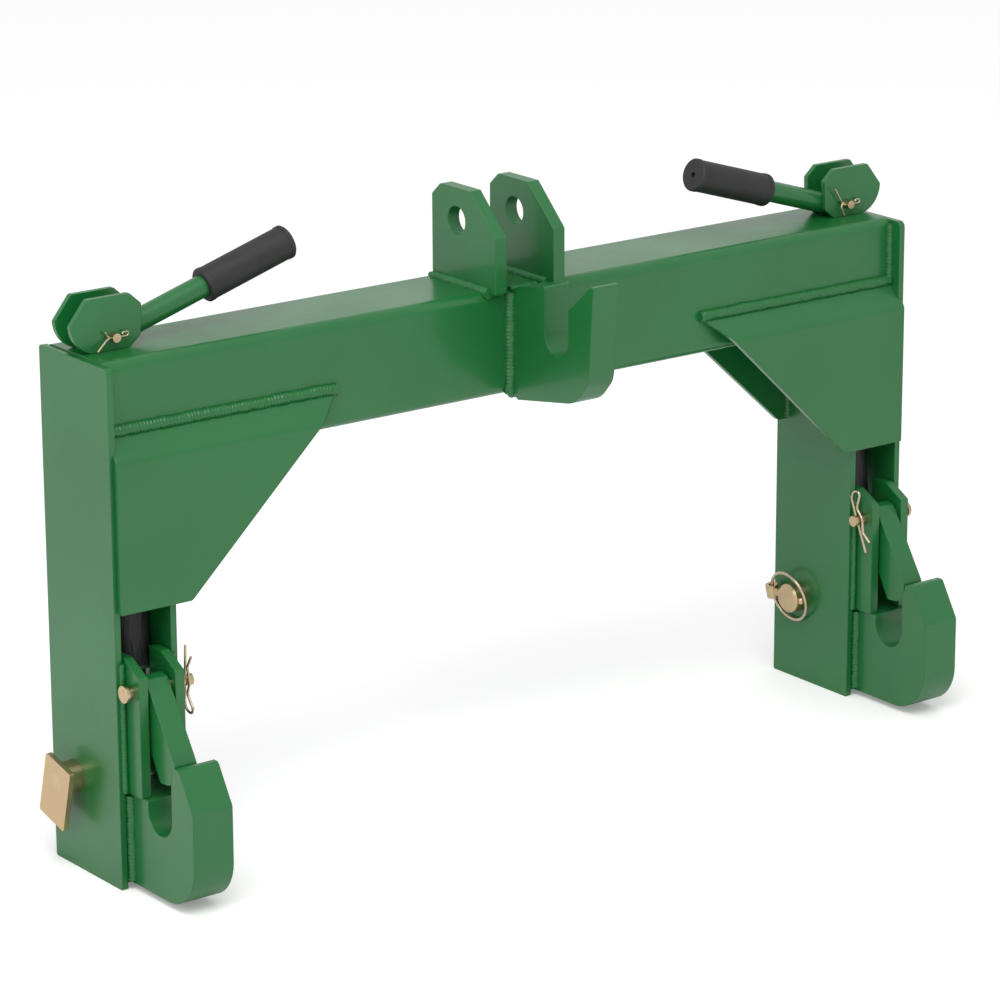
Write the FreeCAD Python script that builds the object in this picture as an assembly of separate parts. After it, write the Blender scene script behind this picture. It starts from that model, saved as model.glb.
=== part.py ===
import FreeCAD, Part
import math
import os

# Three point quick hitch, category 2.
#
# A welded arch that stands between a tractor's three point linkage and an implement.  The arch is
# a square tube on two box legs.  Each leg carries an open hook for one of the implement's lower
# pins, a latch that closes the hook, and the tractor's lower link pin.  The middle of the tube
# carries a plain top hook and two ears for the tractor's top link.  Two cam handles on top of the
# tube each lift a rod, and the rod turns the latch out of its hook.
#
# Frame: X runs along the tube and the arch is symmetric about X = 0.  The hooks face -Y, the
# tractor is on the +Y side, and Y = 0 is the front edge of the legs.  Z is up from the ground.
# Left and right are as seen from the implement.  All sizes are in millimetres.
# Every shape is drawn for the right side, where X is positive, and mirrored for the left.

V = FreeCAD.Vector
X_AXIS = V(1, 0, 0)
Y_AXIS = V(0, 1, 0)
Z_AXIS = V(0, 0, 1)

# ---------------------------------------------------------------- driving dimensions
HOOK_SPACING = 825.0        # between the middles of the two lower hooks
PLATE = 6.0                 # leg plates, tube wall and gussets
LEG_GAP = 50.0              # clear width inside a leg
LEG_DEPTH = 108.0
LEG_TOP = 463.0
BEAM_TOP = 464.2
BEAM_HEIGHT = 96.7
BEAM_FRONT = 14.0           # the tube is set back from the legs' front edges
BEAM_BACK = 105.5
BEAM_CORNER = 9.0
BACK_PLATE_FOOT = 190.0     # the leg is open at the back below this, for the tractor's link end
BACK_PLATE_REAR = 96.0      # the leg's back plate stands in from the leg's back edges

# front gusset: X and Z of its slanted edge at the foot, at the bend and on the tube
GUSSET_FOOT = (368.5, 249.0)
GUSSET_BEND = (229.5, 382.0)
GUSSET_TIP = (202.5, 404.0)
GUSSET_OUTER = 440.0        # it stops short of the leg's outboard face
REAR_GUSSET_REACH = 251.0
REAR_GUSSET_FOOT = 260.0
REAR_GUSSET_BACK = 99.0

# lower hook
HOOK_THICK = 40.0
THROAT_Y = -46.3            # centre of the seat for the implement's lower pin
THROAT_Z = 80.3
THROAT_R = 18.5
HOOK_REACH = -97.5          # front face
HOOK_SOLE = 5.5             # underside
HOOK_TIP = 129.5
UPRIGHT_TOP = 88.5          # top of the hook behind its throat
TONGUE_BACK = 24.0          # how far the hook goes back between the leg plates

# top hook
TOP_HOOK_THICK = 28.0
SLOT_Y = -53.5              # centre of the seat for the implement's top pin
SLOT_Z = 433.6
SLOT_R = 17.2

# top link ears
EAR_THICK = 12.5
EAR_GAP = 52.0
EAR_HOLE_Y = 60.4
EAR_HOLE_Z = 521.5
EAR_HOLE_R = 13.0

# latch, its pivot and the cheeks that hold it
CHEEK_THICK = 9.0
CHEEK_GAP = 27.5
CHEEK_FRONT = -23.0
CHEEK_BACK = 18.0
CHEEK_TOP = 208.5
CHEEK_SLOPE = 12.5          # fall of the cut-off front top corner
PIVOT_Y = -11.0
PIVOT_Z = 181.5
PIVOT_R = 5.2
PIVOT_END = 375.5           # inboard end of the pivot pin
PIVOT_HEAD = 444.0          # outer face of its head
PIVOT_HEAD_R = 7.6
PIVOT_HEAD_THICK = 3.0
CLIP_X = 381.5
CLIP_WIRE_R = 1.2
CLIP_LEAN = {"left": -3.0, "right": 24.0}
LATCH_THICK = 22.0
LATCH_ARM = 49.1            # from the pivot to the fork pin
LATCH_ARM_HALF = 11.0
RUNNING_GAP = 0.06          # radial clearance of a pin in a turning piece

# cam handle
CAM_PIN_X = {"left": 406.5, "right": 412.5}     # the left rod stands a little off its leg's middle
CAM_PIN_Y = 63.0
CAM_FLAT = 11.6             # cam pin above the tube while the hitch is locked
CAM_LIFT = 32.0             # rod travel over a quarter turn of the handle
CAM_PLATE = 5.0
CAM_GAP = 20.0              # between the two cam plates
CAM_PIN_R = 4.0
CAM_SEAT_GAP = 0.2          # under the flat of a locked cam
HANDLE_RISE = 17.0          # degrees
HANDLE_DROP = 4.4           # the tube's axis passes this far under the cam pin
HANDLE_TUBE_R = 10.0
HANDLE_TUBE_WALL = 3.0
HANDLE_WELD = 16.0          # along the tube, from the cam pin to the tube's welded end
HANDLE_END = {"left": 194.5, "right": 184.0}    # along the tube, from the cam pin to the grip's end
GRIP_LENGTH = 91.5
GRIP_R = 15.0
GRIP_RIM_R = 15.5
GRIP_RIM = 5.0
GRIP_VENT_R = 2.5           # small hole in the grip's closed end
GRIP_CAP = 6.0
CAM_PIN_HEAD_R = 7.0
CAM_PIN_HEAD = 4.0
COTTER_R = 0.9
COTTER_FRONT = 3.0          # cotter ahead of the front cam plate
# each cotter's two legs as (outboard, forward, up) steps from the cam pin; the eye is opposite
COTTER_LEGS = {"left": [[(8, 0, -1), (20, 4, -9)], [(8, 0, 2), (10, 1, 6)]],
               "right": [[(-8, 0, 1), (-20, 2, 18)], [(-8, 0, 4), (-10.5, 1, -1.5), (-6.5, 1, -10)]]}

# lift rod with its fork, washer, sleeve and spring
ROD_R = 6.0
EYE_R = 10.5
FORK_WIDTH = 32.0
FORK_GAP = 22.6
FORK_HALF_DEPTH = 8.0
FORK_CROWN = 17.5           # underside of the fork's crown above the fork pin
FORK_TOP = 25.5
FORK_PIN_R = 5.0
FORK_PIN_HEAD = 2.5
WASHER_THICK = 3.0
SLEEVE_R = 18.3
SLEEVE_WALL = 3.5
SLEEVE_LENGTH = 85.0
SPRING_R = 13.0
SPRING_WIRE = 3.0
GUIDE_Z = 318.0             # underside of the plate that guides the rod and seats the spring

# tractor lower link pins
LINK_Y = 72.8
LINK_Z = 84.3
LINK_R = 14.3
LINK_END = 366.0            # free end, from the middle of the hitch
TAB_OUTER = 462.5           # outer face of the pin's flat tab
TAB_THICK = 5.0
TAB_WIDTH = 40.0
TAB_LENGTH = 58.0
TAB_TOP = 16.5              # top edge of the tab above the pin's axis
SPIGOT_R = 7.5
PIN_TURN = {"left": 14.3, "right": -13.3}   # how far each pin is turned in its holes, degrees
LINCH_X = 373.0
LINCH_R = 4.0
LINCH_TIP = 55.0
LINCH_HEAD_R = 6.2
RING_R = 24.8
RING_WIRE_R = 1.6
RING_TILT = 13.0

# derived places
LEG_CENTRE = HOOK_SPACING / 2
INNER_FACE = LEG_CENTRE - LEG_GAP / 2       # inside of the leg plate nearer the middle
OUTER_FACE = LEG_CENTRE + LEG_GAP / 2       # inside of the outboard leg plate
LEG_INBOARD = INNER_FACE - PLATE
LEG_OUTBOARD = OUTER_FACE + PLATE
BEAM_BOTTOM = BEAM_TOP - BEAM_HEIGHT
CAM_PIN_Z = BEAM_TOP + CAM_FLAT
LATCH_TURN = 2 * math.asin(CAM_LIFT / 2 / LATCH_ARM)
RING_HINGE_Y = LINCH_TIP - 3.0 + 2 * RING_R
COTTER_Y = CAM_PIN_Y - CAM_GAP / 2 - CAM_PLATE - COTTER_FRONT


def rod_geometry():
    """Fork pin's Y and Z and the rod's tilt: the rod lies on the chord of the fork pin's arc."""
    tilt = 0.0
    for _ in range(12):
        dip = tilt + LATCH_TURN / 2
        fork_y = PIVOT_Y + LATCH_ARM * math.cos(dip)
        fork_z = PIVOT_Z - LATCH_ARM * math.sin(dip)
        tilt = math.atan2(CAM_PIN_Y - fork_y, CAM_PIN_Z - fork_z)
    return fork_y, fork_z, tilt


FORK_Y, FORK_Z, ROD_TILT = rod_geometry()
ROD_LENGTH = math.hypot(CAM_PIN_Y - FORK_Y, CAM_PIN_Z - FORK_Z)


# ---------------------------------------------------------------- construction helpers
def rounded_edges(corners, closed=True):
    """Straight edges through (point, radius) corners, with a tangent arc at each round corner."""
    points = [point for point, _ in corners]
    count = len(corners)
    trims = []
    for i, (point, radius) in enumerate(corners):
        if radius == 0 or (not closed and i in (0, count - 1)):
            trims.append((point, None, point))
            continue
        before = (points[i - 1] - point).normalize()
        after = (points[(i + 1) % count] - point).normalize()
        half = before.getAngle(after) / 2
        setback = radius / math.tan(half)
        middle = (before + after).normalize() * (radius / math.sin(half) - radius)
        trims.append((point + before * setback, point + middle, point + after * setback))
    edges = []
    for i, (start, middle, end) in enumerate(trims):
        if middle is not None:
            edges.append(Part.Arc(start, middle, end).toShape())
        following = trims[(i + 1) % count][0]
        if (closed or i < count - 1) and end.distanceToPoint(following) > 1e-4:
            edges.append(Part.makeLine(end, following))
    return edges


def plate_yz(outline, x_from, x_to):
    """Plate between two X positions, cut to an outline of (y, z, radius) corners."""
    corners = [(V(x_from, y, z), radius) for y, z, radius in outline]
    face = Part.Face(Part.Wire(rounded_edges(corners)))
    return face.extrude(V(x_to - x_from, 0, 0))


def plate_xz(outline, y_from, y_to):
    """Plate between two Y positions, cut to an outline of (x, z, radius) corners."""
    corners = [(V(x, y_from, z), radius) for x, z, radius in outline]
    face = Part.Face(Part.Wire(rounded_edges(corners)))
    return face.extrude(V(0, y_to - y_from, 0))


def box(x_from, x_to, y_from, y_to, z_from, z_to):
    return Part.makeBox(x_to - x_from, y_to - y_from, z_to - z_from, V(x_from, y_from, z_from))


def bar(radius, start, end):
    """Round bar between two points."""
    return Part.makeCylinder(radius, (end - start).Length, start, end - start)


def bar_x(radius, x_from, x_to, y, z):
    return bar(radius, V(x_from, y, z), V(x_to, y, z))


def bar_y(radius, y_from, y_to, x, z):
    return bar(radius, V(x, y_from, z), V(x, y_to, z))


def bar_z(radius, z_from, z_to):
    return bar(radius, V(0, 0, z_from), V(0, 0, z_to))


def ring_z(outer, inner, z_from, z_to):
    """Tube round the Z axis."""
    return bar_z(outer, z_from, z_to).cut(bar_z(inner, z_from - 1, z_to + 1))


def bent_wire(path, radius):
    """Round wire along a path of (point, bend radius) corners."""
    spine = Part.Wire(rounded_edges(path, closed=False))
    start = path[0][0]
    section = Part.Wire(Part.makeCircle(radius, start, path[1][0] - start))
    return spine.makePipeShell([section], True, True)


def turned(shape, base, axis, degrees):
    moved = shape.copy()
    moved.rotate(base, axis, degrees)
    return moved


def on_rod(shape, side):
    """Put a shape in place from the rod's own frame, with Z along the rod and the fork pin at 0."""
    moved = turned(shape, V(0, 0, 0), X_AXIS, -math.degrees(ROD_TILT))
    moved.translate(V(CAM_PIN_X[side], FORK_Y, FORK_Z))
    return moved


def mirrored(shape):
    return shape.mirror(V(0, 0, 0), X_AXIS)


# ---------------------------------------------------------------- welded frame
def top_beam():
    """Square tube with round corners, drilled through for the two lift rods."""
    def section(inset):
        low = BEAM_BOTTOM + inset
        high = BEAM_TOP - inset
        front = BEAM_FRONT + inset
        back = BEAM_BACK - inset
        corner = BEAM_CORNER - inset
        return [(front, low, corner), (back, low, corner), (back, high, corner), (front, high, corner)]

    tube = plate_yz(section(0), -OUTER_FACE, OUTER_FACE)
    tube = tube.cut(plate_yz(section(PLATE), -OUTER_FACE, OUTER_FACE))
    hole = bar_z(ROD_R + 2, 0, ROD_LENGTH)
    return tube.cut(on_rod(hole, "right")).cut(mirrored(on_rod(hole, "left")))


def leg_plate(x_from, top, top_corner):
    """Side plate of a leg, bored for the lower link pin."""
    outline = [(0, 0, 2), (LEG_DEPTH, 0, 2), (LEG_DEPTH, top, top_corner / 2), (0, top, top_corner)]
    bore = bar_x(LINK_R + RUNNING_GAP, x_from - 1, x_from + PLATE + 1, LINK_Y, LINK_Z)
    return plate_yz(outline, x_from, x_from + PLATE).cut(bore)


def leg_back_plate():
    """Closes the leg's back between its side plates, up to the tube's underside."""
    front = BACK_PLATE_REAR - PLATE
    return box(INNER_FACE, OUTER_FACE, front, BACK_PLATE_REAR, BACK_PLATE_FOOT, BEAM_BOTTOM)


def front_gusset():
    """Bent plate over the legs' front edges, its top band leaning back to the tube."""
    foot_x, foot_z = GUSSET_FOOT
    bend_x, bend_z = GUSSET_BEND
    tip_x, tip_z = GUSSET_TIP
    lean = math.atan2(BEAM_FRONT + PLATE, tip_z - bend_z)
    inner_bend = bend_z - PLATE * math.tan(lean / 2)
    inner_tip = tip_z - PLATE / math.sin(lean)
    section = [(-PLATE, foot_z, 0), (-PLATE, bend_z, 8), (BEAM_FRONT, tip_z, 0),
               (BEAM_FRONT, inner_tip, 0), (0, inner_bend, 2), (0, foot_z, 0)]
    bent = plate_yz(section, tip_x, GUSSET_OUTER)
    face = [(GUSSET_OUTER, foot_z, 1), (foot_x, foot_z, 4), (bend_x, bend_z, 0), (tip_x, tip_z, 0),
            (GUSSET_OUTER, tip_z, 0)]
    bent = bent.common(plate_xz(face, -2 * PLATE, BEAM_BACK))
    return bent.cut(box(OUTER_FACE, LEG_OUTBOARD, 0, BEAM_BACK, foot_z, tip_z))


def rear_gusset():
    """Flat corner plate between the tube's underside and the leg."""
    outline = [(LEG_INBOARD, BEAM_BOTTOM, 0), (REAR_GUSSET_REACH, BEAM_BOTTOM, 0),
               (LEG_INBOARD - 12, REAR_GUSSET_FOOT, 2), (LEG_INBOARD, REAR_GUSSET_FOOT, 0)]
    return plate_xz(outline, REAR_GUSSET_BACK - PLATE, REAR_GUSSET_BACK)


def lower_hook():
    """Thick burnt-out hook with a wider tongue that fills the leg's front."""
    front_wall = THROAT_Y - THROAT_R
    rear_wall = THROAT_Y + THROAT_R
    seat = THROAT_Z - THROAT_R
    outline = [(TONGUE_BACK, HOOK_SOLE, 0), (HOOK_REACH, HOOK_SOLE, 40.5), (HOOK_REACH, 95.5, 3),
               (-77, HOOK_TIP, 4), (-69, HOOK_TIP, 3), (front_wall, HOOK_TIP - 14, 6),
               (front_wall, seat, THROAT_R - 0.01), (rear_wall, seat, THROAT_R - 0.01),
               (rear_wall, UPRIGHT_TOP, 2), (TONGUE_BACK, UPRIGHT_TOP, 0)]
    half = HOOK_THICK / 2
    hook = plate_yz(outline, LEG_CENTRE - half, LEG_CENTRE + half)
    tongue = box(INNER_FACE, OUTER_FACE, 2, TONGUE_BACK, HOOK_SOLE, UPRIGHT_TOP)
    return hook.fuse(tongue).removeSplitter()


def cheek(x_from):
    """Side plate of the latch, standing on the hook, its front top corner cut off."""
    outline = [(CHEEK_FRONT, UPRIGHT_TOP, 0), (CHEEK_BACK, UPRIGHT_TOP, 0), (CHEEK_BACK, CHEEK_TOP, 0),
               (0, CHEEK_TOP, 2), (CHEEK_FRONT, CHEEK_TOP - CHEEK_SLOPE, 2)]
    bore = bar_x(PIVOT_R, x_from - 1, x_from + CHEEK_THICK + 1, PIVOT_Y, PIVOT_Z)
    return plate_yz(outline, x_from, x_from + CHEEK_THICK).cut(bore)


def rod_guide(side):
    """Plate across the leg that guides the lift rod and seats its spring."""
    back = BACK_PLATE_REAR - PLATE
    plate = box(INNER_FACE, OUTER_FACE, 2 * PLATE, back, GUIDE_Z, GUIDE_Z + PLATE)
    return plate.cut(on_rod(bar_z(ROD_R + 1.2, 0, ROD_LENGTH), side))


def top_hook():
    """Hook for the implement's top pin, with a long lead-in on its front arm."""
    front_wall = SLOT_Y - SLOT_R
    rear_wall = SLOT_Y + SLOT_R
    seat = SLOT_Z - SLOT_R
    outline = [(BEAM_FRONT, 371, 0), (3, 364.5, 2), (-80, 378.5, 30), (-99, 400, 22),
               (-105.5, 488, 1.5), (-101, 488, 2), (front_wall, 461, 3),
               (front_wall, seat, SLOT_R - 0.01), (rear_wall, seat, SLOT_R - 0.01),
               (rear_wall, 476, 2), (2, 468.5, 2), (BEAM_FRONT, BEAM_TOP - 1, 0)]
    half = TOP_HOOK_THICK / 2
    return plate_yz(outline, -half, half)


def top_ear():
    """Ear for the tractor's top link, standing on the tube."""
    x_from = EAR_GAP / 2
    outline = [(3, BEAM_TOP, 0), (97, BEAM_TOP, 0), (97, 540, 1.5), (84.5, 551, 1.5),
               (41, 551, 1.5), (3, 514.5, 1.5)]
    bore = bar_x(EAR_HOLE_R, x_from - 1, x_from + EAR_THICK + 1, EAR_HOLE_Y, EAR_HOLE_Z)
    return plate_yz(outline, x_from, x_from + EAR_THICK).cut(bore)


# ---------------------------------------------------------------- latch and its pivot
def latch():
    """Bell crank: a nose over the throat in front, a slotted arm for the fork pin behind."""
    x_from = LEG_CENTRE - LATCH_THICK / 2
    x_to = LEG_CENTRE + LATCH_THICK / 2
    nose = [(-57.5, 125, 5), (-56, 110, 6), (-47, 105.5, 6), (-34, 104, 4), (-19.5, 130, 10),
            (2, 168, 0), (6, 184, 8), (-4, 193, 8), (-15, 191, 5)]
    body = plate_yz(nose, x_from, x_to)

    slack = LATCH_ARM * (1 - math.cos(LATCH_TURN / 2))
    slot_r = FORK_PIN_R + 0.5
    arm = box(x_from, x_to, 0, LATCH_ARM, -LATCH_ARM_HALF, LATCH_ARM_HALF)
    arm = arm.fuse(bar_x(LATCH_ARM_HALF, x_from, x_to, LATCH_ARM, 0))
    slot = box(x_from - 1, x_to + 1, LATCH_ARM - slack, LATCH_ARM, -slot_r, slot_r)
    for y in (LATCH_ARM - slack, LATCH_ARM):
        slot = slot.fuse(bar_x(slot_r, x_from - 1, x_to + 1, y, 0))
    arm = turned(arm.cut(slot), V(0, 0, 0), X_AXIS, -math.degrees(ROD_TILT + LATCH_TURN / 2))
    arm.translate(V(0, PIVOT_Y, PIVOT_Z))

    bore = bar_x(PIVOT_R + RUNNING_GAP, x_from - 1, x_to + 1, PIVOT_Y, PIVOT_Z)
    return body.fuse(arm).cut(bore).removeSplitter()


def clip_frame(shape, side):
    """Lean a shape about the pivot pin as the side's clip leans, its top to the rear."""
    return turned(shape, V(CLIP_X, PIVOT_Y, PIVOT_Z), X_AXIS, -CLIP_LEAN[side])


def latch_pivot_pin(side):
    """Headed pin through both cheeks and the latch, cross drilled for its clip."""
    head_from = PIVOT_HEAD - PIVOT_HEAD_THICK
    pin = bar_x(PIVOT_R - 0.02, PIVOT_END, head_from, PIVOT_Y, PIVOT_Z)
    head = bar_x(PIVOT_HEAD_R, head_from, PIVOT_HEAD, PIVOT_Y, PIVOT_Z)
    across = 2 * PIVOT_R
    hole = bar(CLIP_WIRE_R + 0.1, V(CLIP_X, PIVOT_Y, PIVOT_Z - across), V(CLIP_X, PIVOT_Y, PIVOT_Z + across))
    return pin.fuse(head).cut(clip_frame(hole, side))


def latch_pin_clip(side):
    """R-clip: its straight leg goes through the pin, the other leg snaps round the outside."""
    up = {"left": -1, "right": 1}[side]
    round_pin = PIVOT_R + CLIP_WIRE_R + 0.3
    path = [(-32, 0, 0), (27, 0, 8), (27, 16.5, 3.8), (11, 3.8, 5), (0, round_pin * 1.1, round_pin),
            (-13, 3.3, 5), (-24, 9, 0)]
    corners = [(V(CLIP_X, PIVOT_Y - out, PIVOT_Z + up * along), bend) for along, out, bend in path]
    return clip_frame(bent_wire(corners, CLIP_WIRE_R), side)


# ---------------------------------------------------------------- lift rod
def lift_rod(side):
    """Rod with an eye between the cam plates above and a fork over the latch arm below."""
    pin_x = CAM_PIN_X[side]
    centre = LEG_CENTRE - pin_x
    half = FORK_WIDTH / 2
    gap = FORK_GAP / 2
    foot = -FORK_HALF_DEPTH
    fork = box(centre - half, centre + half, foot, -foot, 0, FORK_TOP)
    fork = fork.fuse(bar_x(FORK_HALF_DEPTH, centre - half, centre + half, 0, 0))
    fork = fork.cut(box(centre - gap, centre + gap, 2 * foot, -2 * foot, 2 * foot, FORK_CROWN))
    fork = fork.cut(bar_x(FORK_PIN_R + 0.02, centre - 2 * half, centre + 2 * half, 0, 0))
    stem = bar_z(ROD_R, FORK_CROWN, ROD_LENGTH)
    rod = on_rod(fork.fuse(stem), side)
    reach = CAM_GAP / 2 - 0.3
    eye = bar_y(EYE_R, CAM_PIN_Y - reach, CAM_PIN_Y + reach, pin_x, CAM_PIN_Z)
    bore = bar_y(CAM_PIN_R + 0.02, CAM_PIN_Y - 2 * reach, CAM_PIN_Y + 2 * reach, pin_x, CAM_PIN_Z)
    return rod.fuse(eye).cut(bore).removeSplitter()


def fork_pin(side):
    """Cross pin of the fork, headed at both ends."""
    centre = LEG_CENTRE - CAM_PIN_X[side]
    half = FORK_WIDTH / 2
    pin = bar_x(FORK_PIN_R, centre - half, centre + half, 0, 0)
    for start in (centre - half - FORK_PIN_HEAD, centre + half):
        pin = pin.fuse(bar_x(FORK_PIN_R + 2, start, start + FORK_PIN_HEAD, 0, 0))
    return on_rod(pin, side)


def rod_washer(side):
    return on_rod(ring_z(SLEEVE_R, ROD_R + 0.05, FORK_TOP, FORK_TOP + WASHER_THICK), side)


def spring_sleeve(side):
    """Rubber sleeve round the lower end of the spring."""
    low = FORK_TOP + WASHER_THICK
    return on_rod(ring_z(SLEEVE_R, SLEEVE_R - SLEEVE_WALL, low, low + SLEEVE_LENGTH), side)


def return_spring(side):
    """The space of the coil spring between the washer and the guide plate."""
    low = FORK_TOP + WASHER_THICK
    spring = on_rod(ring_z(SPRING_R, SPRING_R - SPRING_WIRE, low, ROD_LENGTH), side)
    above = box(0, 2 * LEG_CENTRE, -LEG_DEPTH, 2 * LEG_DEPTH, GUIDE_Z, 2 * CAM_PIN_Z)
    return spring.cut(above)


# ---------------------------------------------------------------- cam handle
def cam_plate(side, y_from):
    """Cam: a flat that rests on the tube while locked, then a rising curve to a slanted flat."""
    low = -(CAM_FLAT - CAM_SEAT_GAP)
    points = {"toe": (21.8, low), "curve": (34.5, -3.5), "nose": (41.6, 14.3), "top_out": (25, 35.3),
              "top_in": (-17, 35.3), "back_top": (-28.5, 25), "back": (-27.3, -2.2), "heel": (-16.5, low)}
    pin_x = CAM_PIN_X[side]
    at = {name: V(pin_x + x, y_from, CAM_PIN_Z + z) for name, (x, z) in points.items()}
    rising = Part.Arc(at["toe"], at["curve"], at["nose"]).toShape()
    bends = [("nose", 0), ("top_out", 2), ("top_in", 3), ("back_top", 3), ("back", 3), ("heel", 1.5),
             ("toe", 0)]
    rest = rounded_edges([(at[name], radius) for name, radius in bends], closed=False)
    plate = Part.Face(Part.Wire([rising] + rest)).extrude(V(0, CAM_PLATE, 0))
    bore = bar_y(CAM_PIN_R + RUNNING_GAP, y_from - 1, y_from + CAM_PLATE + 1, pin_x, CAM_PIN_Z)
    return plate.cut(bore)


def along_handle(shape, side):
    """Put a shape in place from the handle's own frame, with Z along the tube from the cam pin."""
    rise = math.radians(HANDLE_RISE)
    moved = turned(shape, V(0, 0, 0), Y_AXIS, HANDLE_RISE - 90)
    moved.translate(V(CAM_PIN_X[side] - HANDLE_DROP * math.sin(rise), CAM_PIN_Y,
                      CAM_PIN_Z - HANDLE_DROP * math.cos(rise)))
    return moved


def handle_tube(side):
    """Tube welded between the cam plates, going on inside the grip."""
    inside = HANDLE_TUBE_R - HANDLE_TUBE_WALL
    return along_handle(ring_z(HANDLE_TUBE_R, inside, HANDLE_WELD, HANDLE_END[side] - GRIP_CAP), side)


def handle_grip(side):
    """Rubber grip with a rim at each end and a small hole in its closed end."""
    end = HANDLE_END[side]
    start = end - GRIP_LENGTH
    chamfer = 1.5
    profile = [(HANDLE_TUBE_R, start), (GRIP_RIM_R - chamfer, start), (GRIP_RIM_R, start + chamfer),
               (GRIP_RIM_R, start + GRIP_RIM), (GRIP_R, start + GRIP_RIM), (GRIP_R, end - GRIP_RIM),
               (GRIP_RIM_R, end - GRIP_RIM), (GRIP_RIM_R, end - chamfer), (GRIP_RIM_R - chamfer, end),
               (GRIP_VENT_R, end), (GRIP_VENT_R, end - GRIP_CAP), (HANDLE_TUBE_R, end - GRIP_CAP)]
    corners = [V(radius, 0, along) for radius, along in profile]
    section = Part.Face(Part.makePolygon(corners + corners[:1]))
    return along_handle(section.revolve(V(0, 0, 0), Z_AXIS, 360), side)


def cam_pin(side):
    """Headed pin through the cam plates and the rod's eye, cross drilled for its cotter."""
    outside = CAM_GAP / 2 + CAM_PLATE + 0.5
    front = CAM_PIN_Y - outside - 2 * COTTER_FRONT
    back = CAM_PIN_Y + outside
    pin_x = CAM_PIN_X[side]
    pin = bar_y(CAM_PIN_R, front, back, pin_x, CAM_PIN_Z)
    head = bar_y(CAM_PIN_HEAD_R, back, back + CAM_PIN_HEAD, pin_x, CAM_PIN_Z)
    across = 2 * CAM_PIN_R
    hole = bar(COTTER_R + 0.1, V(pin_x - across, COTTER_Y, CAM_PIN_Z), V(pin_x + across, COTTER_Y, CAM_PIN_Z))
    return pin.fuse(head).cut(hole)


def cam_pin_cotter(side):
    """Split pin through the end of the cam pin: a round eye, and two legs bent apart."""
    def place(outboard, forward, up):
        return V(CAM_PIN_X[side] + outboard, COTTER_Y - forward, CAM_PIN_Z + up)

    long_leg, short_leg = COTTER_LEGS[side]
    away = -math.copysign(1.0, long_leg[0][0])
    clear = CAM_PIN_R + 1.4
    eye = [(13, 0, 1.75), (13, 3.6, 1.75), (8.5, 3.6, 1.5), (6.8, 2, 0)]
    loop = [(place(away * x, 0, z), bend) for x, z, bend in eye]
    first = [(place(*long_leg[1]), 0), (place(*long_leg[0]), 3), (place(-away * clear, 0, 0), 0.5)]
    second = [(place(-away * clear, 0, COTTER_R), 0)] + [(place(*point), 2) for point in short_leg]
    return bent_wire(first + loop, COTTER_R).fuse(bent_wire(second, COTTER_R))


# ---------------------------------------------------------------- tractor lower link pins
def on_link_pin(shape, side):
    return turned(shape, V(0, LINK_Y, LINK_Z), X_AXIS, PIN_TURN[side])


def lower_link_pin():
    """Round pin with a chamfered free end and a spigot riveted through its tab."""
    shoulder = TAB_OUTER - TAB_THICK
    edge = 2.0
    profile = [(LINK_END, 0), (LINK_END, LINK_R - edge), (LINK_END + edge, LINK_R), (shoulder, LINK_R),
               (shoulder, SPIGOT_R), (TAB_OUTER, SPIGOT_R), (TAB_OUTER, 0)]
    corners = [V(x, LINK_Y, LINK_Z + radius) for x, radius in profile]
    section = Part.Face(Part.makePolygon(corners + corners[:1]))
    pin = section.revolve(V(0, LINK_Y, LINK_Z), X_AXIS, 360)
    across = 2 * LINK_R
    return pin.cut(bar_y(LINCH_R + 0.1, LINK_Y - across, LINK_Y + across, LINCH_X, LINK_Z))


def pin_tab(side):
    """Flat tab that the pin is pulled and turned by."""
    half = TAB_WIDTH / 2
    top = LINK_Z + TAB_TOP
    low = top - TAB_LENGTH
    outline = [(LINK_Y - half, low, 2), (LINK_Y + half, low, 2), (LINK_Y + half, top, 2),
               (LINK_Y - half, top, 2)]
    tab = plate_yz(outline, TAB_OUTER - TAB_THICK, TAB_OUTER)
    tab = tab.cut(bar_x(SPIGOT_R + 0.02, TAB_OUTER - 2 * TAB_THICK, TAB_OUTER + 1, LINK_Y, LINK_Z))
    return on_link_pin(tab, side)


def ring_axis():
    """Direction of the line in the linch pin's head that the ring swings about."""
    tilt = math.radians(RING_TILT)
    return V(-math.sin(tilt), 0, math.cos(tilt))


def linch_pin():
    """Round nosed cross pin whose head holds the ring."""
    shank = bar_y(LINCH_R, LINCH_TIP + LINCH_R, RING_HINGE_Y, LINCH_X, LINK_Z)
    nose = Part.makeSphere(LINCH_R, V(LINCH_X, LINCH_TIP + LINCH_R, LINK_Z))
    hinge = V(LINCH_X, RING_HINGE_Y, LINK_Z)
    half = ring_axis() * 6.5
    head = bar(LINCH_HEAD_R, hinge - half, hinge + half)
    bore = bar(RING_WIRE_R + 1.2, hinge - half * 2, hinge + half * 2)
    return shank.fuse(nose).fuse(head).cut(bore).removeSplitter()


def linch_ring():
    """Spring wire ring that closes round the pin's end."""
    tilt = math.radians(RING_TILT)
    centre = V(LINCH_X, RING_HINGE_Y - RING_R, LINK_Z)
    return Part.makeTorus(RING_R, RING_WIRE_R, centre, V(math.cos(tilt), 0, math.sin(tilt)))


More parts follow.
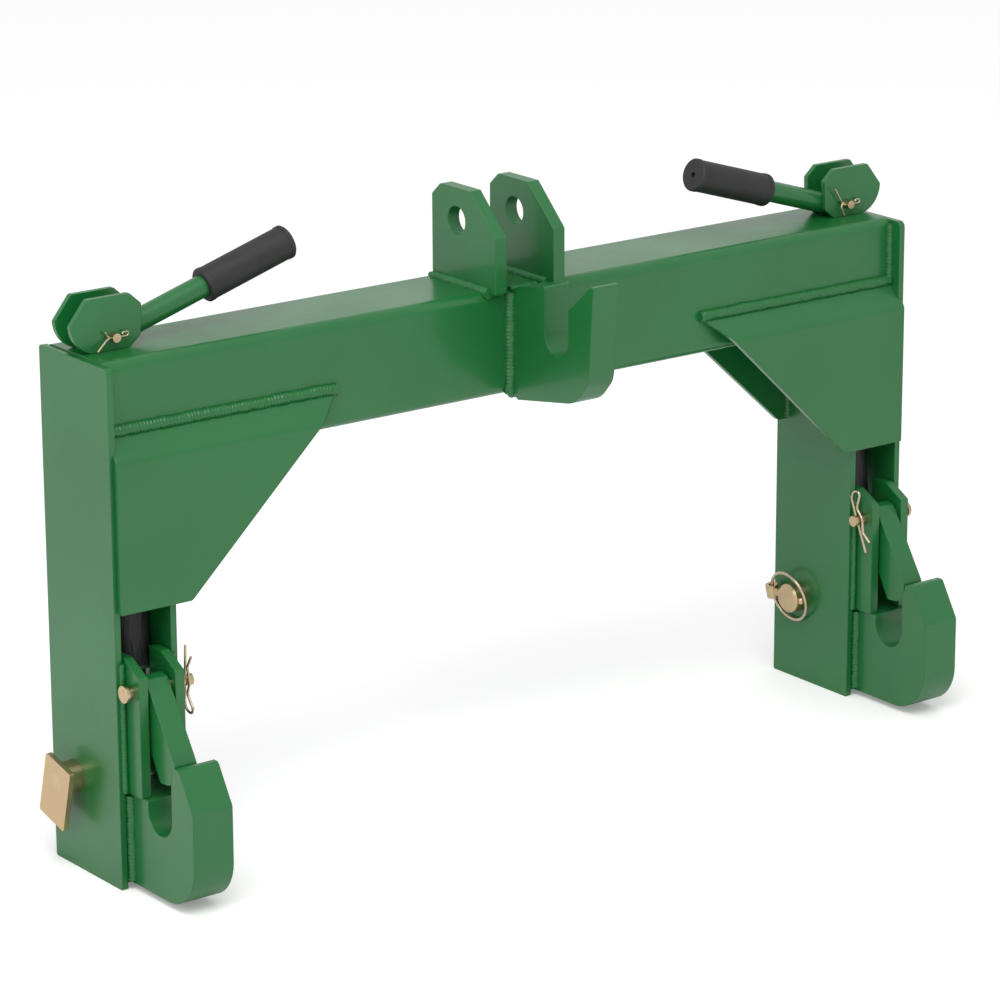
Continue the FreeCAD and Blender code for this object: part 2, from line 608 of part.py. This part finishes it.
# ---------------------------------------------------------------- files
def one_side(side):
    """Every piece of one side, drawn where X is positive."""
    gap = CAM_GAP / 2
    return {
        "outer_leg_plate": leg_plate(OUTER_FACE, LEG_TOP, 6),
        "inner_leg_plate": leg_plate(LEG_INBOARD, BEAM_BOTTOM, 0),
        "leg_back_plate": leg_back_plate(),
        "front_gusset": front_gusset(),
        "rear_gusset": rear_gusset(),
        "lower_hook": lower_hook(),
        "inner_cheek": cheek(LEG_CENTRE - CHEEK_GAP / 2 - CHEEK_THICK),
        "outer_cheek": cheek(LEG_CENTRE + CHEEK_GAP / 2),
        "rod_guide": rod_guide(side),
        "top_ear": top_ear(),
        "latch_pivot_pin": latch_pivot_pin(side),
        "latch_pin_clip": latch_pin_clip(side),
        "latch": latch(),
        "lift_rod": lift_rod(side),
        "fork_pin": fork_pin(side),
        "rod_washer": rod_washer(side),
        "spring_sleeve": spring_sleeve(side),
        "return_spring": return_spring(side),
        "front_cam_plate": cam_plate(side, CAM_PIN_Y - gap - CAM_PLATE),
        "rear_cam_plate": cam_plate(side, CAM_PIN_Y + gap),
        "handle_tube": handle_tube(side),
        "handle_grip": handle_grip(side),
        "cam_pin": cam_pin(side),
        "cam_pin_cotter": cam_pin_cotter(side),
        "lower_link_pin": lower_link_pin(),
        "lower_link_pin_tab": pin_tab(side),
        "linch_pin": linch_pin(),
        "linch_ring": linch_ring(),
    }


def all_nodes():
    nodes = {"top_beam": top_beam(), "top_hook": top_hook()}
    for side in ("left", "right"):
        for name, shape in one_side(side).items():
            nodes[side + "_" + name] = mirrored(shape) if side == "left" else shape
    return nodes


def main():
    os.makedirs("parts", exist_ok=True)
    for name, shape in all_nodes().items():
        if not shape.isValid() or shape.Volume <= 0:
            raise ValueError(name + " is not a sound solid")
        shape.exportStep(os.path.join("parts", name + ".step"))
    print("fork pin at", round(FORK_Y, 2), round(FORK_Z, 2), "rod tilt", round(math.degrees(ROD_TILT), 3),
          "latch turn", round(math.degrees(LATCH_TURN), 3))


main()
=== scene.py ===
# %% [markdown]
# A three point quick hitch: a welded steel arch in green enamel, with two latched hooks, two cam
# handles with rubber grips, and plated pins.  The construction model is loaded first.  It gives
# every piece its place and size, and this lesson gives the pieces their finishes and adds the weld
# beads, which a construction model leaves out.

# %% Load the construction model
import bpy
import math
from mathutils import Matrix, Vector


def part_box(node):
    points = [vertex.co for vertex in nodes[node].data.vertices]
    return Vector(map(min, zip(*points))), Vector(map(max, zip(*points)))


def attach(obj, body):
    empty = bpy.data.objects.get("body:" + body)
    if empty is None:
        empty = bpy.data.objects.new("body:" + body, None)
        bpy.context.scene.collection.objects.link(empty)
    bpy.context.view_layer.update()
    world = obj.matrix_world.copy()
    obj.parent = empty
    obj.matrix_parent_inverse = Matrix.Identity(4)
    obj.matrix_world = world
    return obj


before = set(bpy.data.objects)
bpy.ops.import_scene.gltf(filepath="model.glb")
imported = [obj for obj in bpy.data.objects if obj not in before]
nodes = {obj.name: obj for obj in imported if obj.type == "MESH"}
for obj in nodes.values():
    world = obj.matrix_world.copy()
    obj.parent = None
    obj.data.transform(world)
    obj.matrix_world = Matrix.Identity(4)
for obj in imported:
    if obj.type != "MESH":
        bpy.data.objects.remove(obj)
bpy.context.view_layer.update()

MM = 0.001
SIDES = {"left": -1, "right": 1}

# %% [markdown]
# The camera looks down on the hitch from its front left, through a long lens, as in a catalogue.
# Its direction is a turn about the vertical, a dip and a hardly visible roll.  Writing the three
# axes of the camera out as a matrix shows what those angles do.

# %% Camera
CAMERA_PLACE = Vector((-2262.05, -2965.39, 1392.05)) * MM
CAMERA_TURN = 0.6438
CAMERA_DIP = 0.2924
CAMERA_ROLL = -0.0037
LENS = 155.815


def aim_camera():
    """Camera object with its axes worked out from turn, dip and roll in radians."""
    ahead = Vector((math.sin(CAMERA_TURN) * math.cos(CAMERA_DIP),
                    math.cos(CAMERA_TURN) * math.cos(CAMERA_DIP), -math.sin(CAMERA_DIP)))
    level = Vector((math.cos(CAMERA_TURN), -math.sin(CAMERA_TURN), 0))
    upright = level.cross(ahead)
    right = level * math.cos(CAMERA_ROLL) + upright * math.sin(CAMERA_ROLL)
    up = upright * math.cos(CAMERA_ROLL) - level * math.sin(CAMERA_ROLL)
    data = bpy.data.cameras.new("catalogue_camera")
    data.lens = LENS
    data.sensor_width = 36
    data.clip_end = 50
    camera = bpy.data.objects.new("catalogue_camera", data)
    bpy.context.scene.collection.objects.link(camera)
    axes = Matrix((right, up, -ahead)).transposed().to_4x4()
    camera.matrix_world = Matrix.Translation(CAMERA_PLACE) @ axes
    return camera


bpy.context.scene.camera = aim_camera()
bpy.context.scene.view_settings.view_transform = "Standard"

# %% [markdown]
# Materials and shapes are both made of node trees.  A tree of nodes is easier to read as a sum than
# as a list of links, so a Plug wraps an output socket and turns Python's operators into Math nodes.
# Tree.node makes any other node: first its settings, then the values or links of its sockets.

# %% A small language for node trees
class Plug:
    """An output socket on which + - * and / add Math nodes."""

    def __init__(self, tree, socket):
        self.tree = tree
        self.socket = socket

    def math(self, operation, *values):
        return self.tree.math(operation, self, *values)

    def __add__(self, other):
        return self.math("ADD", other)

    def __radd__(self, other):
        return self.tree.math("ADD", other, self)

    def __sub__(self, other):
        return self.math("SUBTRACT", other)

    def __rsub__(self, other):
        return self.tree.math("SUBTRACT", other, self)

    def __mul__(self, other):
        return self.math("MULTIPLY", other)

    def __rmul__(self, other):
        return self.tree.math("MULTIPLY", other, self)

    def __truediv__(self, other):
        return self.math("DIVIDE", other)

    def between(self, low, high):
        """0 below low, 1 above high and a straight rise between them."""
        return self.tree.node("ShaderNodeMapRange", {"clamp": True},
                              {"Value": self, "From Min": low, "From Max": high})["Result"]


class Tree:
    """A node tree, of a material or of Geometry Nodes."""

    def __init__(self, tree):
        self.tree = tree

    def node(self, kind, settings=None, inputs=None):
        made = self.tree.nodes.new(kind)
        for name, value in (settings or {}).items():
            setattr(made, name, value)
        for key, value in (inputs or {}).items():
            if isinstance(value, Plug):
                self.tree.links.new(value.socket, made.inputs[key])
            else:
                made.inputs[key].default_value = value
        return Outputs(self, made)

    def math(self, operation, *values):
        return self.node("ShaderNodeMath", {"operation": operation}, dict(enumerate(values)))["Value"]

    def blend(self, factor, first, second):
        """Two colours mixed by a factor.  Sockets 6 and 7 and output 2 are the colour ones."""
        values = {"Factor": factor, 6: first, 7: second}
        return Plug(self, self.node("ShaderNodeMix", {"data_type": "RGBA"}, values).made.outputs[2])


class Outputs:
    """A new node, whose outputs are read by name."""

    def __init__(self, tree, made):
        self.tree = tree
        self.made = made

    def __getitem__(self, name):
        return Plug(self.tree, self.made.outputs[name])


# %% [markdown]
# Each finish is one Principled shader.  What differs over the surface is worked out from Object
# coordinates, so that a pattern stays on its piece when the piece moves.  The Bevel node rounds the
# normals near sharp edges, which gives plates the thin bright line that real paint has there.

# %% Start of a finish
class Finish(Tree):
    """A material with one Principled shader and the usual coordinates."""

    def __init__(self, name):
        self.material = bpy.data.materials.new(name)
        self.material.use_nodes = True
        super().__init__(self.material.node_tree)
        self.tree.nodes.clear()
        place = self.node("ShaderNodeTexCoord")
        self.object = place["Object"]
        self.facing = place["Normal"]

    def noise(self, size, detail=2.0, roughness=0.5, distortion=0.0, stretch=(1, 1, 1)):
        """Noise from 0 to 1 with features of about this size in metres, stretched along the axes."""
        scaled = self.node("ShaderNodeVectorMath", {"operation": "DIVIDE"},
                           {0: self.object, 1: tuple(size * s for s in stretch)})["Vector"]
        return self.node("ShaderNodeTexNoise", {},
                         {"Vector": scaled, "Scale": 1.0, "Detail": detail, "Roughness": roughness,
                          "Distortion": distortion})["Fac"]

    def rounded(self, radius):
        return self.node("ShaderNodeBevel", {"samples": 6}, {"Radius": radius})["Normal"]

    def bump(self, height, depth, normal=None):
        """Normal of a surface whose height, from 0 to 1, is depth metres."""
        inputs = {"Height": height, "Strength": 1.0, "Distance": depth}
        if normal is not None:
            inputs["Normal"] = normal
        return self.node("ShaderNodeBump", {}, inputs)["Normal"]

    def close(self, **sockets):
        """End in a Principled shader with these sockets, and return the material."""
        shader = self.node("ShaderNodeBsdfPrincipled", {}, sockets)
        self.node("ShaderNodeOutputMaterial", {}, {"Surface": shader["BSDF"]})
        return self.material


# %% [markdown]
# The enamel is sprayed on plates, flame-cut edges and welds alike, and takes after what is under
# it.  Rolled faces show only the slight orange peel of sprayed paint.  Flame-cut edges keep fine
# ridges across the plate.  A function makes the family, so the colour and gloss stay the same.

# %% Green enamel
ENAMEL = (0.0075, 0.142, 0.0290)
ENAMEL_DARK = (0.0050, 0.112, 0.0220)


def enamel(name, cut_across=None, grain=0.0, rounding=1.6 * MM):
    """Green enamel.  cut_across is the axis through the plate, whose other faces are flame-cut."""
    paint = Finish(name)
    cloud = paint.noise(0.12, detail=3.0).between(0.3, 0.7)
    fine = paint.noise(0.006, detail=3.0)
    colour = paint.blend(cloud * 0.6 + fine * 0.25, (*ENAMEL, 1), (*ENAMEL_DARK, 1))
    peel = paint.noise(0.0042, detail=2.0, roughness=0.45)
    sags = paint.noise(0.035, detail=1.0)
    height = peel * 0.10 + sags * 0.5
    rough = 0.27 + cloud * 0.08 + fine * 0.05
    if cut_across is not None:
        along = tuple(8.0 if axis == cut_across else 1.0 for axis in "XYZ")
        split = paint.node("ShaderNodeSeparateXYZ", {}, {0: paint.facing})
        edge = 1 - split[cut_across].math("ABSOLUTE").between(0.4, 0.8)
        ridges = paint.noise(0.0030, detail=3.0, roughness=0.6, stretch=along)
        pits = paint.noise(0.0022, detail=2.0).between(0.55, 0.75)
        height = height + edge * (ridges * 0.55 + pits * 0.25)
        rough = rough + edge * 0.08
    if grain:
        lumps = paint.noise(0.0030, detail=4.0, roughness=0.65)
        height = height + lumps * grain
        rough = rough + 0.06
    normal = paint.bump(height, 0.35 * MM, paint.rounded(rounding))
    return paint.close(**{"Base Color": colour, "Roughness": rough, "Normal": normal, "Metallic": 0.0,
                          "Specular IOR Level": 0.5, "Coat Weight": 0.25, "Coat Roughness": 0.12})


plate_enamel = enamel("enamel_on_plate")
edge_enamel = enamel("enamel_on_flame_cut_plate", cut_across="X")
cam_enamel = enamel("enamel_on_cams", cut_across="Y", rounding=0.9 * MM)
cast_enamel = enamel("enamel_on_rough_bar", grain=0.30)
weld_enamel = enamel("enamel_on_weld", grain=0.85, rounding=0.6 * MM)
print("enamel finishes:", [m.name for m in bpy.data.materials if m.name.startswith("enamel")])

# %% [markdown]
# The pins are turned steel with yellow zinc plate, which is a thin film.  It shifts between straw,
# pink and green over a few millimetres, and turned faces carry fine rings.

# %% Plated steel
def plated(name, straw, flush, film_size, rough, grain=0.15, rounding=0.5 * MM):
    """Plated steel that shifts between two tints."""
    metal = Finish(name)
    film = metal.noise(film_size, detail=3.0, distortion=0.8).between(0.3, 0.7)
    speck = metal.noise(0.0011, detail=3.0, roughness=0.7)
    tint = metal.blend(film, (*straw, 1), (*flush, 1))
    dull = metal.blend(speck.between(0.55, 0.8) * 0.35, tint, (0.16, 0.13, 0.09, 1))
    normal = metal.bump(speck * grain, 0.12 * MM, metal.rounded(rounding))
    return metal.close(**{"Base Color": dull, "Metallic": 1.0, "Roughness": rough + film * 0.12,
                          "Normal": normal})


yellow_zinc = plated("yellow_zinc", (0.62, 0.50, 0.27), (0.56, 0.40, 0.27), 0.012, 0.26)
tab_zinc = plated("yellow_zinc_on_strip", (0.60, 0.42, 0.27), (0.62, 0.47, 0.24), 0.022, 0.34, 0.5)
wire_zinc = plated("zinc_on_wire", (0.62, 0.52, 0.36), (0.50, 0.42, 0.30), 0.006, 0.30)
washer_zinc = plated("bright_zinc", (0.62, 0.62, 0.60), (0.52, 0.53, 0.55), 0.010, 0.30)
spring_steel = plated("dark_spring_steel", (0.10, 0.10, 0.10), (0.16, 0.15, 0.14), 0.010, 0.38)

# %% [markdown]
# The grips and the sleeves round the springs are black rubber.  Rubber is dark and dull, with a
# dusty bloom that is paler where it is handled.  The sleeves also have soft upright creases.

# %% Rubber
def rubber(name, shade, creases=0.0, rough=0.55):
    """Black rubber with a fine skin."""
    skin = Finish(name)
    bloom = skin.noise(0.018, detail=4.0, roughness=0.6).between(0.35, 0.75)
    pores = skin.noise(0.0009, detail=2.0)
    colour = skin.blend(bloom, (*(shade,) * 3, 1), (*(shade * 1.9,) * 3, 1))
    height = pores * 0.2
    if creases:
        folds = skin.noise(0.011, detail=2.0, distortion=1.0, stretch=(0.6, 0.6, 4.0))
        height = height + folds * creases
    normal = skin.bump(height, 0.5 * MM, skin.rounded(0.6 * MM))
    return skin.close(**{"Base Color": colour, "Roughness": rough + bloom * 0.15, "Normal": normal,
                         "Metallic": 0.0, "Specular IOR Level": 0.45})


grip_rubber = rubber("grip_rubber", 0.014)
sleeve_rubber = rubber("sleeve_rubber", 0.012, creases=3.0, rough=0.42)

# %% [markdown]
# A construction node keeps its mesh, so dressing it is only a matter of its material slots.  The
# table below goes from the end of a node's name to its finish.

# %% Dress the construction nodes
DRESS = {
    "leg_plate": plate_enamel, "leg_back_plate": plate_enamel, "gusset": plate_enamel,
    "top_beam": plate_enamel, "rod_guide": plate_enamel, "handle_tube": plate_enamel,
    "lower_hook": edge_enamel, "top_hook": edge_enamel, "cheek": edge_enamel, "top_ear": edge_enamel,
    "latch": edge_enamel, "cam_plate": cam_enamel, "lift_rod": cast_enamel,
    "latch_pivot_pin": yellow_zinc, "fork_pin": yellow_zinc, "cam_pin": yellow_zinc,
    "lower_link_pin": yellow_zinc, "linch_pin": yellow_zinc, "lower_link_pin_tab": tab_zinc,
    "latch_pin_clip": wire_zinc, "cam_pin_cotter": wire_zinc, "linch_ring": wire_zinc,
    "rod_washer": washer_zinc, "return_spring": spring_steel, "handle_grip": grip_rubber,
    "spring_sleeve": sleeve_rubber,
}


def finish_for(node):
    """The finish whose key is the longest ending of the node's name."""
    fitting = [ending for ending in DRESS if node.endswith(ending)]
    return DRESS[max(fitting, key=len)]


for name, piece in nodes.items():
    piece.data.materials.clear()
    piece.data.materials.append(finish_for(name))
print("dressed", len(nodes), "construction nodes")

# %% [markdown]
# Every joint of the arch is welded, and the beads show under the paint as lumpy rounded fillets.
# A bead follows a line and repeats one ripple, so Geometry Nodes make them all: a polyline for each
# joint goes in, and a tube with ripples and uneven swelling comes out.  Half of each tube is inside
# the plates, and only the fillet shows.

# %% A tree for weld beads
def geometry_tree(name, inputs):
    """Empty Geometry Nodes tree with a geometry input and these named float inputs."""
    group = bpy.data.node_groups.new(name, "GeometryNodeTree")
    group.interface.new_socket("Geometry", in_out="INPUT", socket_type="NodeSocketGeometry")
    group.interface.new_socket("Geometry", in_out="OUTPUT", socket_type="NodeSocketGeometry")
    for title, value in inputs.items():
        kind = "NodeSocketMaterial" if value is None else "NodeSocketFloat"
        socket = group.interface.new_socket(title, in_out="INPUT", socket_type=kind)
        if value is not None:
            socket.default_value = value
    tree = Tree(group)
    return tree, tree.node("NodeGroupInput")


def end_tree(tree, geometry, given):
    """Realize the instances, give the material and hand the geometry out."""
    real = tree.node("GeometryNodeRealizeInstances", {}, {"Geometry": geometry})["Geometry"]
    dressed = tree.node("GeometryNodeSetMaterial", {}, {"Geometry": real, "Material": given["Material"]})
    tree.node("NodeGroupOutput", {}, {"Geometry": dressed["Geometry"]})


def bake_tree(name, source, tree, values, material):
    """Run a tree on a source mesh and return its result as a plain mesh object."""
    holder = bpy.data.objects.new(name + "_source", source)
    bpy.context.scene.collection.objects.link(holder)
    modifier = holder.modifiers.new("shape", "NODES")
    modifier.node_group = tree.tree
    for item in tree.tree.interface.items_tree:
        if item.in_out == "INPUT" and item.name in values:
            modifier[item.identifier] = values[item.name]
        if item.in_out == "INPUT" and item.name == "Material":
            modifier[item.identifier] = material
    ready = holder.evaluated_get(bpy.context.evaluated_depsgraph_get())
    mesh = bpy.data.meshes.new_from_object(ready)
    bpy.data.objects.remove(holder)
    piece = bpy.data.objects.new(name, mesh)
    bpy.context.scene.collection.objects.link(piece)
    print(name, "has", len(mesh.polygons), "faces")
    return piece


def weld_tree():
    """Tubes along polylines, with a radius from the points, ripples and uneven swelling."""
    tree, given = geometry_tree("weld_beads", {"Step": 1.1 * MM, "Ripple Pitch": 3.4 * MM,
                                               "Ripple": 0.10, "Swell": 0.28, "Swell Size": 7 * MM,
                                               "Material": None})
    line = tree.node("GeometryNodeMeshToCurve", {}, {"Mesh": given["Geometry"]})["Curve"]
    even = tree.node("GeometryNodeResampleCurve", {"mode": "LENGTH"},
                     {"Curve": line, "Length": given["Step"]})["Curve"]
    wide = tree.node("GeometryNodeInputNamedAttribute", {"data_type": "FLOAT"},
                     {"Name": "bead_radius"})["Attribute"]
    along = tree.node("GeometryNodeSplineParameter")["Length"]
    kept = tree.node("GeometryNodeCaptureAttribute", {}, {})
    kept.made.capture_items.new("FLOAT", "Along")
    kept.made.capture_items.new("FLOAT", "Wide")
    tree.tree.links.new(even.socket, kept.made.inputs[0])
    tree.tree.links.new(along.socket, kept.made.inputs[1])
    tree.tree.links.new(wide.socket, kept.made.inputs[2])
    profile = tree.node("GeometryNodeCurvePrimitiveCircle", {}, {"Resolution": 14, "Radius": 1.0})
    tube = tree.node("GeometryNodeCurveToMesh", {},
                     {"Curve": Plug(tree, kept.made.outputs[0]), "Profile Curve": profile["Curve"],
                      "Fill Caps": True, "Scale": Plug(tree, kept.made.outputs[2])})["Mesh"]
    place = tree.node("GeometryNodeInputPosition")["Position"]
    size = given["Swell Size"]
    cell = tree.node("ShaderNodeCombineXYZ", {}, {"X": size, "Y": size, "Z": size})["Vector"]
    spots = tree.node("ShaderNodeVectorMath", {"operation": "DIVIDE"}, {0: place, 1: cell})
    swell = tree.node("ShaderNodeTexNoise", {}, {"Vector": spots["Vector"], "Scale": 1.0, "Detail": 3.0,
                                                 "Roughness": 0.6})["Fac"]
    wave = (Plug(tree, kept.made.outputs[1]) * math.tau / given["Ripple Pitch"]).math("SINE")
    uneven = (swell - 0.5) * given["Swell"] * 2 + wave * given["Ripple"]
    push = Plug(tree, kept.made.outputs[2]) * uneven
    outward = tree.node("GeometryNodeInputNormal")["Normal"]
    offset = tree.node("ShaderNodeVectorMath", {"operation": "SCALE"}, {0: outward, "Scale": push})
    lumpy = tree.node("GeometryNodeSetPosition", {}, {"Geometry": tube, "Offset": offset["Vector"]})
    soft = tree.node("GeometryNodeSetShadeSmooth", {}, {"Geometry": lumpy["Geometry"]})["Geometry"]
    end_tree(tree, soft, given)
    return tree


def bead_lines(name, lines):
    """Mesh of separate polylines, each given as (points, radius), in metres."""
    mesh = bpy.data.meshes.new(name)
    points, links, radii = [], [], []
    for path, radius in lines:
        first = len(points)
        points += [tuple(point) for point in path]
        links += [(first + i, first + i + 1) for i in range(len(path) - 1)]
        radii += [radius] * len(path)
    mesh.from_pydata(points, links, [])
    wide = mesh.attributes.new("bead_radius", "FLOAT", "POINT")
    wide.data.foreach_set("value", radii)
    return mesh


# %% [markdown]
# The lines come from the boxes of the pieces that they join.  They are written for the right side
# and mirrored for the left.

# %% Weld lines of the arch
def box_mm(name):
    """Lowest and highest corner of a construction node, in millimetres."""
    low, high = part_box(name)
    return [c / MM for c in low], [c / MM for c in high]


GUSSET_BEAD = 5.2
HOOK_BEAD = 4.6
TOP_HOOK_BEAD = 6.0
EAR_BEAD = 5.0
EAR_END_BEAD = 3.4
BACK_BEAD = 2.6
HOOK_HALF = 20.0


def frame_welds():
    """Every weld of one side of the arch: (points in millimetres, radius in millimetres)."""
    beam_low, beam_high = box_mm("top_beam")
    wall_low, wall_high = box_mm("right_inner_leg_plate")
    out_low, _ = box_mm("right_outer_leg_plate")
    gusset_low, gusset_high = box_mm("right_front_gusset")
    rear_low, rear_high = box_mm("right_rear_gusset")
    back_low, back_high = box_mm("right_leg_back_plate")
    hook_low, _ = box_mm("right_lower_hook")
    ear_low, ear_high = box_mm("right_top_ear")
    cheek_low, cheek_high = box_mm("right_outer_cheek")
    front = beam_low[1]
    under = beam_low[2]
    top = beam_high[2]
    centre = (wall_high[0] + out_low[0]) / 2
    sole = hook_low[2]
    step = cheek_low[2]
    tip = gusset_high[2] + 0.5
    seam = back_high[1] - 0.6
    lines = [
        ([(gusset_low[0] + 1, front - 0.5, tip), (out_low[0], front - 0.5, tip)], GUSSET_BEAD),
        ([(out_low[0], front, gusset_high[2]), (out_low[0], front, top - 5)], 4.2),
        ([(wall_low[0], front, under), (wall_low[0], back_low[1] - 9, under)], 4.0),
        ([(wall_low[0], 0.5, gusset_low[2] + 3), (wall_low[0], 0.5, under - 8)], 3.6),
        ([(wall_low[0], rear_low[1], rear_low[2] + 2), (wall_low[0], rear_low[1], under - 2)], 4.2),
        ([(wall_low[0], rear_high[1], rear_low[2] + 2), (wall_low[0], rear_high[1], under - 2)], 3.4),
        ([(rear_low[0] + 2, rear_low[1], under), (wall_low[0] - 3, rear_low[1], under)], 3.8),
        ([(back_low[0], seam, back_low[2]), (back_low[0], seam, back_high[2])], BACK_BEAD),
        ([(back_high[0], seam, back_low[2]), (back_high[0], seam, back_high[2])], BACK_BEAD),
        ([(back_low[0] + 2, back_low[1], under), (back_high[0] - 2, back_low[1], under)], 4.4),
    ]
    for x in (centre - HOOK_HALF, centre + HOOK_HALF):
        lines.append(([(x, -0.5, sole + 3), (x, -0.5, step - 3)], HOOK_BEAD))
    for x in (wall_high[0], out_low[0]):
        lines.append(([(x, 0, step), (x, 0, cheek_high[2] - 4)], 3.0))
    ear_sides = (ear_low[0], ear_high[0])
    for x in ear_sides:
        lines.append(([(x, ear_low[1] + 9, top), (x, ear_high[1] - 3, top)], EAR_BEAD))
    ahead = (ear_low[1] + 11, top - 0.5)
    behind = (beam_high[1] - 4, top - 1)
    lines.append(([(ear_low[0] + 1, *ahead), (ear_high[0] - 1, *ahead)], EAR_END_BEAD))
    lines.append(([(x, *behind) for x in ear_sides], EAR_END_BEAD))
    return lines


def hook_welds():
    """Welds of the top hook, both sides and over its top."""
    low, high = box_mm("top_hook")
    beam_low, beam_high = box_mm("top_beam")
    front = beam_low[1]
    top = beam_high[2]
    lines = [([(x, front, beam_low[2] + 1), (x, front - 0.5, top - 3)], TOP_HOOK_BEAD)
             for x in (low[0], high[0])]
    lines.append(([(low[0], front + 1, top - 2), (high[0], front + 1, top - 2)], 4.5))
    lines.append(([(low[0], front + 1, beam_low[2] + 1), (high[0], front + 1, beam_low[2] + 1)], 4.5))
    return lines


def in_metres(lines, sign=1):
    """The same lines in metres, mirrored where sign is -1."""
    return [([(sign * x * MM, y * MM, z * MM) for x, y, z in path], radius * MM)
            for path, radius in lines]


weld_nodes = weld_tree()
arch_lines = in_metres(hook_welds())
for sign in SIDES.values():
    arch_lines += in_metres(frame_welds(), sign)
weld_source = bead_lines("arch_weld_lines", arch_lines)
welds = bake_tree("arch_weld_beads", weld_source, weld_nodes, {}, weld_enamel)
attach(welds, "frame")

# %% [markdown]
# The floor is a large pale sheet and the room round it is white.  The camera and mirror-like paint
# see pure white, while the light that falls on the hitch is softer than that, from a wide lamp
# overhead and from the room.

# %% Floor, room and lamps
def white_floor():
    """Pale floor that the camera sees a little brighter than it is lit."""
    ground = Finish("pale_floor")
    seen = ground.node("ShaderNodeLightPath")["Is Camera Ray"]
    base = ground.node("ShaderNodeBsdfDiffuse", {}, {"Color": (0.90, 0.90, 0.90, 1)})["BSDF"]
    glow = ground.node("ShaderNodeEmission", {}, {"Color": (1, 1, 1, 1), "Strength": seen * 0.20})
    both = ground.node("ShaderNodeAddShader", {}, {0: base, 1: glow["Emission"]})["Shader"]
    ground.node("ShaderNodeOutputMaterial", {}, {"Surface": both})
    mesh = bpy.data.meshes.new("floor")
    reach = 12.0
    mesh.from_pydata([(-reach, -reach, 0), (reach, -reach, 0), (reach, reach, 0), (-reach, reach, 0)],
                     [], [(0, 1, 2, 3)])
    mesh.materials.append(ground.material)
    floor = bpy.data.objects.new("floor", mesh)
    bpy.context.scene.collection.objects.link(floor)


def white_room():
    """White surroundings: full white to the camera, a little less as light."""
    world = bpy.data.worlds.new("room")
    bpy.context.scene.world = world
    world.use_nodes = True
    room = Tree(world.node_tree)
    world.node_tree.nodes.clear()
    seen = room.node("ShaderNodeLightPath")["Is Camera Ray"]
    sky = room.node("ShaderNodeBackground", {}, {"Color": (1, 1, 1, 1), "Strength": 0.80 + seen * 0.20})
    room.node("ShaderNodeOutputWorld", {}, {"Surface": sky["Background"]})


def soft_lamp(name, place, aim, size, power):
    data = bpy.data.lights.new(name, "AREA")
    data.shape = "DISK"
    data.size = size
    data.energy = power
    lamp = bpy.data.objects.new(name, data)
    lamp.location = place
    lamp.rotation_euler = (Vector(aim) - Vector(place)).to_track_quat("-Z", "Y").to_euler()
    bpy.context.scene.collection.objects.link(lamp)


white_floor()
white_room()
soft_lamp("overhead_lamp", (-1.2, -1.6, 3.2), (0, 0, 0.2), 2.2, 60)
soft_lamp("fill_lamp", (-3.0, -0.6, 1.6), (0, 0, 0.3), 1.8, 14)
